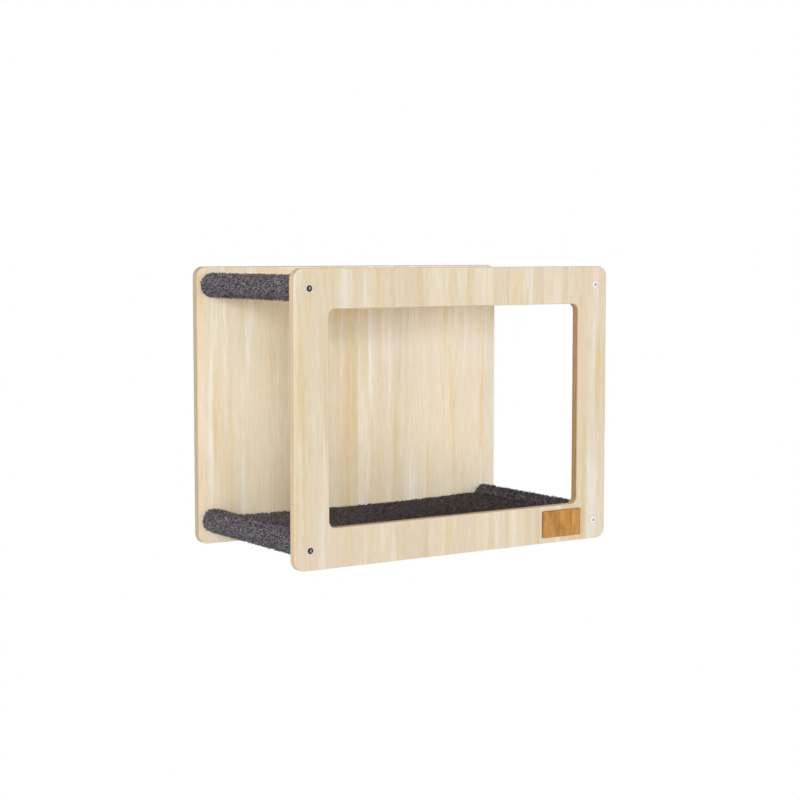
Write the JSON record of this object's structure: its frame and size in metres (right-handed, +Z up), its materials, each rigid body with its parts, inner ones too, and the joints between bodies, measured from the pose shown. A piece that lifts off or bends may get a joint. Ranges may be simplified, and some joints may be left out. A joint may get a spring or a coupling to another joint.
{
  "type": "wall-mounted cat hideout",
  "caption": "Open-sided pet hideout for a wall: a plywood back panel and a windowed front frame, held apart by carpeted round rails, with a carpet sling as its floor.",
  "frame": {"origin": "centre of the back panel's wall side", "axes": "+X to the right as seen from the front, +Y into the wall, +Z up"},
  "size_m": [0.532, 0.2865, 0.4],
  "materials": {
    "panel_wood": "pale vertical-grain plywood, clear matt varnish",
    "rail_wood": "bare round pine bar",
    "badge_wood": "brown stained wood, satin",
    "carpet": "charcoal cut pile carpet",
    "bolt_steel": "bright plated steel",
    "insert_brass": "plain brass"
  },
  "bodies": {
    "root": {"back_panel": "panel_wood", "front_frame": "panel_wood", "badge_plate": "badge_wood", "floor_sling": "carpet", "top_left_sleeve": "carpet", "top_right_sleeve": "carpet", "top_left_rail": "rail_wood", "top_right_rail": "rail_wood", "bottom_left_rail": "rail_wood", "bottom_right_rail": "rail_wood", "top_left_front_bolt": "bolt_steel", "top_right_front_bolt": "bolt_steel", "bottom_left_front_bolt": "bolt_steel", "bottom_right_front_bolt": "bolt_steel", "top_left_rear_bolt": "bolt_steel", "top_right_rear_bolt": "bolt_steel", "bottom_left_rear_bolt": "bolt_steel", "bottom_right_rear_bolt": "bolt_steel", "top_left_rail_inserts": "insert_brass", "top_right_rail_inserts": "insert_brass", "bottom_left_rail_inserts": "insert_brass", "bottom_right_rail_inserts": "insert_brass"}
  },
  "joints": []
}
